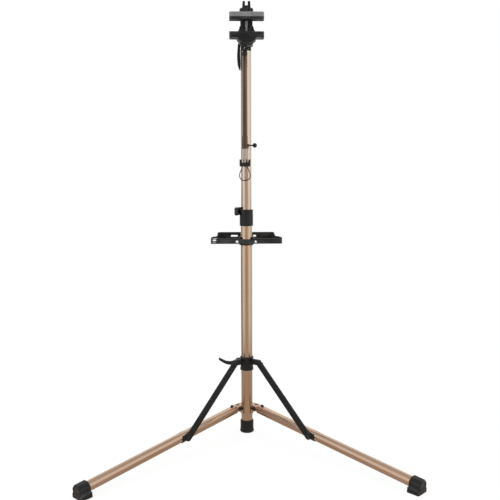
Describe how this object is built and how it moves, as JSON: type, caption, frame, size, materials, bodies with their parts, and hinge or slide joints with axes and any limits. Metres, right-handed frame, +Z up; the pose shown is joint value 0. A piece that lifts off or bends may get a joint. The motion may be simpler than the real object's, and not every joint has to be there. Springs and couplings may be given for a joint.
{
  "type": "bicycle repair stand",
  "caption": "Folding bicycle repair stand: strutted legs, telescopic quick-release mast, tilting screw clamp head, tool tray and a hung telescopic support rod.",
  "frame": {"origin": "centre of the mast foot's lower face, on the floor", "axes": "+Z up the mast; the clamp head and the legs point to -Y; +X is the stand's left-hand side as it faces -Y, the viewer's right"},
  "size_m": [0.9798, 0.5949, 1.4146],
  "materials": {
    "champagne_gold_tube": "satin anodised champagne gold",
    "dark_bronze_tube": "satin anodised dark bronze",
    "silver_rod": "satin anodised silver",
    "bright_steel": "plain zinc-plated fasteners",
    "black_painted_steel": "black powder coat",
    "black_plastic": "moulded black, fine grain",
    "black_rubber": "moulded black rubber",
    "grey_casting": "light grey painted casting"
  },
  "bodies": {
    "base": {"mast_outer_tube": "champagne_gold_tube", "mast_foot": "black_rubber", "leg_hub": "champagne_gold_tube", "hub_bolt": "bright_steel", "hinge_bolt_left": "black_painted_steel", "hinge_bolt_right": "black_painted_steel", "mast_clamp_collar": "black_plastic", "mast_clamp_skewer": "bright_steel", "mast_clamp_nut": "bright_steel", "mast_clamp_lever_pin": "bright_steel"},
    "mast_upper": {"mast_inner_tube": "champagne_gold_tube", "mast_inner_plug": "black_plastic", "head_yoke": "black_plastic", "head_skewer": "bright_steel", "head_nut": "bright_steel", "head_lever_pin": "bright_steel", "rod_hook": "bright_steel", "rod_top_fitting": "black_plastic", "rod_outer_tube": "dark_bronze_tube", "rod_collar": "dark_bronze_tube"},
    "mast_clamp_lever_body": {"mast_clamp_lever": "black_plastic"},
    "head_lever_body": {"head_lever": "black_plastic"},
    "head_arm_body": {"head_arm": "black_painted_steel"},
    "clamp_head": {"clamp_body": "black_painted_steel", "lower_jaw_pad": "black_rubber"},
    "upper_jaw_body": {"upper_jaw": "grey_casting", "jaw_guide": "black_painted_steel", "upper_jaw_pad": "black_rubber"},
    "clamp_knob_body": {"clamp_knob": "black_plastic", "clamp_screw": "bright_steel", "knob_handle_pin": "bright_steel"},
    "knob_handle_body": {"knob_handle": "black_plastic"},
    "slider": {"slider_collar": "black_plastic", "slider_shoe": "black_rubber", "slider_lever_pin": "bright_steel"},
    "slider_lever_body": {"slider_lever": "black_plastic"},
    "tray": {"tool_tray": "black_plastic"},
    "tray_screw_body": {"tray_screw": "black_plastic"},
    "rod_end": {"rod_inner_tube": "silver_rod", "rod_cradle": "black_plastic", "rod_cord_loop": "black_rubber"},
    "rod_thumbscrew_body": {"rod_thumbscrew": "black_plastic"},
    "leg_left": {"leg_tube_left": "champagne_gold_tube", "hinge_tongue_left": "champagne_gold_tube", "leg_screw_left": "black_painted_steel", "leg_clip_left": "black_painted_steel", "strut_foot_bolt_left": "black_painted_steel", "leg_foot_left": "black_rubber"},
    "strut_left_body": {"strut_left": "black_painted_steel", "strut_top_bolt_left": "black_painted_steel"},
    "leg_right": {"leg_tube_right": "champagne_gold_tube", "hinge_tongue_right": "champagne_gold_tube", "leg_screw_right": "black_painted_steel", "leg_clip_right": "black_painted_steel", "strut_foot_bolt_right": "black_painted_steel", "leg_foot_right": "black_rubber"},
    "strut_right_body": {"strut_right": "black_painted_steel", "strut_top_bolt_right": "black_painted_steel"}
  },
  "joints": [
    {"name": "mast_slide", "type": "slide", "parent": "base", "child": "mast_upper", "axis": [0, 0, 1], "range_m": [-0.3, 0.05]},
    {"name": "mast_clamp_lever_turn", "type": "hinge", "parent": "base", "child": "mast_clamp_lever_body", "pos_m": [-0.0201, 0.031, 0.76], "axis": [0, 0, -1], "range_deg": [0, 135]},
    {"name": "head_lever_turn", "type": "hinge", "parent": "mast_upper", "child": "head_lever_body", "pos_m": [-0.0216, 0, 1.301], "axis": [0, 1, 0], "range_deg": [0, 150]},
    {"name": "head_tilt", "type": "hinge", "parent": "mast_upper", "child": "head_arm_body", "pos_m": [0, 0, 1.301], "axis": [-1, 0, 0], "range_deg": [0, 90]},
    {"name": "clamp_turn", "type": "hinge", "parent": "head_arm_body", "child": "clamp_head", "pos_m": [0, -0.064, 1.301], "axis": [0, -1, 0], "continuous": true},
    {"name": "jaw_slide", "type": "slide", "parent": "clamp_head", "child": "upper_jaw_body", "axis": [0, 0, 1], "range_m": [-0.021, 0.012]},
    {"name": "knob_turn", "type": "hinge", "parent": "upper_jaw_body", "child": "clamp_knob_body", "pos_m": [0, -0.086, 1.3748], "axis": [0, 0, 1], "range_deg": [-945.1, 540.1]},
    {"name": "knob_handle_fold", "type": "hinge", "parent": "clamp_knob_body", "child": "knob_handle_body", "pos_m": [0, -0.086, 1.3989], "axis": [1, 0, 0], "range_deg": [0, 90]},
    {"name": "leg_left_fold", "type": "hinge", "parent": "base", "child": "leg_left", "pos_m": [-0.03372, -0.00931, 0.0845], "axis": [-0.7242, 0.6896, 0], "range_deg": [0, 85.68]},
    {"name": "leg_right_fold", "type": "hinge", "parent": "base", "child": "leg_right", "pos_m": [0.03372, -0.00931, 0.0845], "axis": [-0.7242, -0.6896, 0], "range_deg": [0, 85.68]},
    {"name": "strut_left_turn", "type": "hinge", "parent": "leg_left", "child": "strut_left_body", "pos_m": [-0.18827, -0.20322, 0.05992], "axis": [-0.7242, 0.6896, 0], "range_deg": [-131.8, 0]},
    {"name": "strut_right_turn", "type": "hinge", "parent": "leg_right", "child": "strut_right_body", "pos_m": [0.18827, -0.20322, 0.05992], "axis": [-0.7242, -0.6896, 0], "range_deg": [-131.8, 0]},
    {"name": "slider_slide", "type": "slide", "parent": "base", "child": "slider", "axis": [0, 0, 1], "range_m": [0, 0.3655]},
    {"name": "slider_lever_turn", "type": "hinge", "parent": "slider", "child": "slider_lever_body", "pos_m": [-0.031, 0, 0.249], "axis": [0, 1, 0], "range_deg": [-40, 0]},
    {"name": "tray_slide", "type": "slide", "parent": "base", "child": "tray", "axis": [0, 0, 1], "range_m": [0, 0.025]},
    {"name": "tray_screw_turn", "type": "hinge", "parent": "tray", "child": "tray_screw_body", "pos_m": [0, 0.03, 0.666], "axis": [0, 1, 0], "range_deg": [0, 720]},
    {"name": "rod_slide", "type": "slide", "parent": "mast_upper", "child": "rod_end", "axis": [0, 0, 1], "range_m": [-0.08, 0.028]},
    {"name": "rod_thumbscrew_turn", "type": "hinge", "parent": "mast_upper", "child": "rod_thumbscrew_body", "pos_m": [-0.005, -0.0375, 0.976], "axis": [1, 0, 0], "range_deg": [0, 720]}
  ],
  "couplings": [
    {"joint": "leg_right_fold", "follows": "leg_left_fold", "ratio": 1},
    {"joint": "strut_left_turn", "follows": "leg_left_fold", "ratio": -1.537},
    {"joint": "strut_right_turn", "follows": "leg_left_fold", "ratio": -1.537},
    {"joint": "slider_slide", "follows": "leg_left_fold", "m_per_rad": 0.2441},
    {"joint": "knob_turn", "follows": "jaw_slide", "rad_per_m": 785.4}
  ]
}
